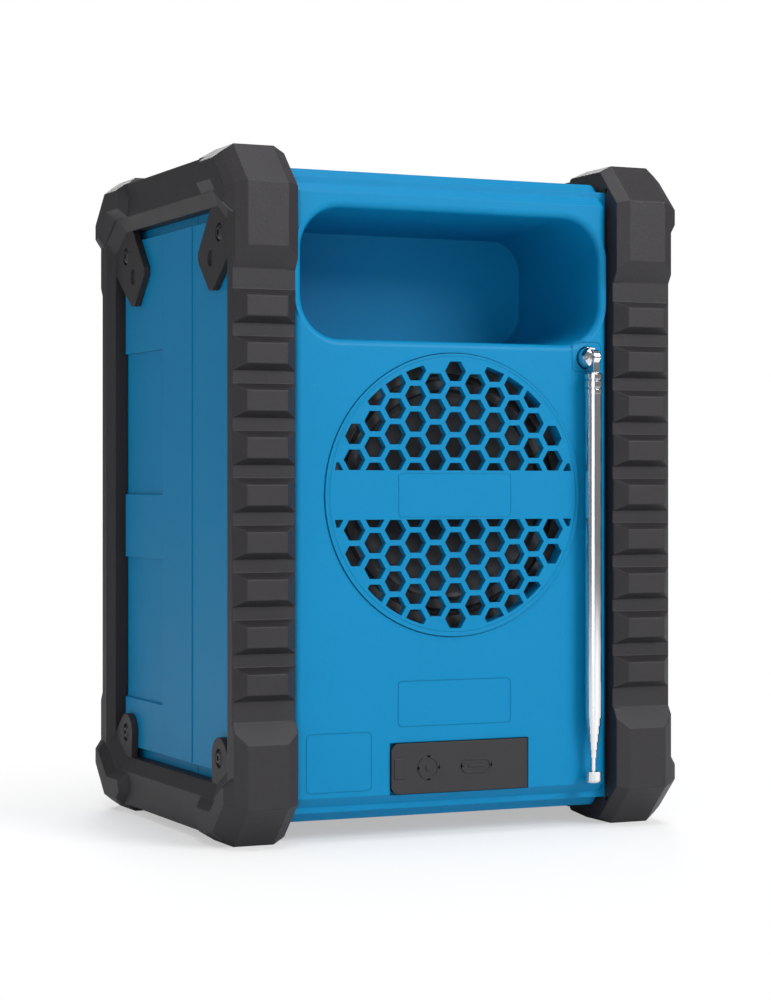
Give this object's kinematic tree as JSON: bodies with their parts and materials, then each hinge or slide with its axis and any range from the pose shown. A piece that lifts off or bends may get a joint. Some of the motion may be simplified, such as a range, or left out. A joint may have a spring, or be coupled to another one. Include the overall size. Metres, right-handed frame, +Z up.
{
  "type": "jobsite radio",
  "caption": "Rugged jobsite radio: blue shell with a hand recess and a hexagon-cell grille between ribbed rubber bumper frames, with a telescopic antenna and a port flap.",
  "frame": {"origin": "on the floor under the middle of the bounding box", "axes": "+Z up, +Y out of the side with the antenna, the hexagon grille and the hand recess, -Y out of the control side"},
  "size_m": [0.1768, 0.151, 0.241],
  "materials": {
    "blue_shell": "fine grained moulding",
    "bumper_rubber": "grained",
    "soft_rubber": "satin",
    "black_plastic": "fine grained moulding",
    "zinc_steel": "plated",
    "chrome_tube": "bright plated",
    "cone_board": "pressed pulp",
    "ferrite": "fired",
    "clear_window": "smoked and clear",
    "display_glass": "polished",
    "circuit_board": "lacquered",
    "cell_wrap": "shrink wrap",
    "nickel": "rolled"
  },
  "bodies": {
    "radio": {"antenna_bracket": "zinc_steel", "aux_jack": "black_plastic", "battery_cells": "cell_wrap", "battery_strips": "nickel", "battery_tray": "black_plastic", "bumper_screws": "zinc_steel", "charging_socket": "zinc_steel", "control_panel": "black_plastic", "display_lens": "clear_window", "display_module": "display_glass", "front_grille": "black_plastic", "front_housing": "blue_shell", "housing_seal": "soft_rubber", "key_switches": "black_plastic", "left_bumper": "bumper_rubber", "main_board": "circuit_board", "port_board": "circuit_board", "radiator_cone": "cone_board", "radiator_frame": "black_plastic", "radiator_surround": "soft_rubber", "radiator_weight": "zinc_steel", "rear_grille": "blue_shell", "rear_housing": "blue_shell", "reset_switch": "black_plastic", "right_bumper": "bumper_rubber", "shell_screws": "zinc_steel", "speaker_basket": "zinc_steel", "speaker_cone": "cone_board", "speaker_dust_cap": "cone_board", "speaker_magnet": "ferrite", "speaker_surround": "soft_rubber", "volume_encoder": "zinc_steel"},
    "volume_knob": {"volume_knob": "black_plastic", "encoder_shaft": "zinc_steel"},
    "reset_button": {"reset_button": "black_plastic"},
    "port_flap": {"port_flap": "soft_rubber"},
    "antenna_turret": {"antenna_turret": "chrome_tube", "antenna_pin": "zinc_steel"},
    "antenna_arm": {"antenna_ferrule": "chrome_tube", "antenna_tube_1": "chrome_tube"},
    "antenna_tube_2": {"antenna_tube_2": "chrome_tube"},
    "antenna_tube_3": {"antenna_tube_3": "chrome_tube"},
    "antenna_tube_4": {"antenna_tube_4": "chrome_tube"},
    "antenna_tube_5": {"antenna_tube_5": "chrome_tube"},
    "antenna_tube_6": {"antenna_tube_6": "chrome_tube"},
    "antenna_tip": {"antenna_rod": "chrome_tube", "antenna_cap": "chrome_tube"},
    "power_button": {"power_button": "black_plastic"},
    "source_button": {"source_button": "black_plastic"},
    "menu_button": {"menu_button": "black_plastic"},
    "scan_button": {"scan_button": "black_plastic"},
    "preset_button": {"preset_button": "black_plastic"},
    "play_button": {"play_button": "black_plastic"}
  },
  "joints": [
    {"name": "volume_turn", "type": "hinge", "parent": "radio", "child": "volume_knob", "pos_m": [0.033, -0.0675, 0.195], "axis": [0, -1, 0], "continuous": true},
    {"name": "power_button_press", "type": "slide", "parent": "radio", "child": "power_button", "axis": [0, 1, 0], "range_m": [0, 0.0008], "stiffness_N_per_m": 1500, "springref_m": -0.0003},
    {"name": "source_button_press", "type": "slide", "parent": "radio", "child": "source_button", "axis": [0, 1, 0], "range_m": [0, 0.0008], "stiffness_N_per_m": 1500, "springref_m": -0.0003},
    {"name": "menu_button_press", "type": "slide", "parent": "radio", "child": "menu_button", "axis": [0, 1, 0], "range_m": [0, 0.0008], "stiffness_N_per_m": 1500, "springref_m": -0.0003},
    {"name": "scan_button_press", "type": "slide", "parent": "radio", "child": "scan_button", "axis": [0, 1, 0], "range_m": [0, 0.0008], "stiffness_N_per_m": 1500, "springref_m": -0.0003},
    {"name": "preset_button_press", "type": "slide", "parent": "radio", "child": "preset_button", "axis": [0, 1, 0], "range_m": [0, 0.0008], "stiffness_N_per_m": 1500, "springref_m": -0.0003},
    {"name": "play_button_press", "type": "slide", "parent": "radio", "child": "play_button", "axis": [0, 1, 0], "range_m": [0, 0.0008], "stiffness_N_per_m": 1500, "springref_m": -0.0003},
    {"name": "reset_press", "type": "slide", "parent": "radio", "child": "reset_button", "axis": [0, -1, 0], "range_m": [0, 0.0005], "stiffness_N_per_m": 1500, "springref_m": -0.0003},
    {"name": "flap_hinge", "type": "hinge", "parent": "radio", "child": "port_flap", "pos_m": [-0.0277, 0.06705, 0.0246], "axis": [0, 0, 1], "range_deg": [0, 100]},
    {"name": "antenna_swivel", "type": "hinge", "parent": "radio", "child": "antenna_turret", "pos_m": [-0.0532, 0.0675, 0.17], "axis": [0, -1, 0], "range_deg": [0, 40]},
    {"name": "antenna_tilt", "type": "hinge", "parent": "antenna_turret", "child": "antenna_arm", "pos_m": [-0.0532, 0.07225, 0.17], "axis": [1, 0, 0], "range_deg": [0, 150]},
    {"name": "antenna_tube_2_slide", "type": "slide", "parent": "antenna_arm", "child": "antenna_tube_2", "axis": [0, 0, -1], "range_m": [0, 0.1]},
    {"name": "antenna_tube_3_slide", "type": "slide", "parent": "antenna_tube_2", "child": "antenna_tube_3", "axis": [0, 0, -1], "range_m": [0, 0.1]},
    {"name": "antenna_tube_4_slide", "type": "slide", "parent": "antenna_tube_3", "child": "antenna_tube_4", "axis": [0, 0, -1], "range_m": [0, 0.1]},
    {"name": "antenna_tube_5_slide", "type": "slide", "parent": "antenna_tube_4", "child": "antenna_tube_5", "axis": [0, 0, -1], "range_m": [0, 0.1]},
    {"name": "antenna_tube_6_slide", "type": "slide", "parent": "antenna_tube_5", "child": "antenna_tube_6", "axis": [0, 0, -1], "range_m": [0, 0.1]},
    {"name": "antenna_tip_slide", "type": "slide", "parent": "antenna_tube_6", "child": "antenna_tip", "axis": [0, 0, -1], "range_m": [0, 0.1]}
  ]
}
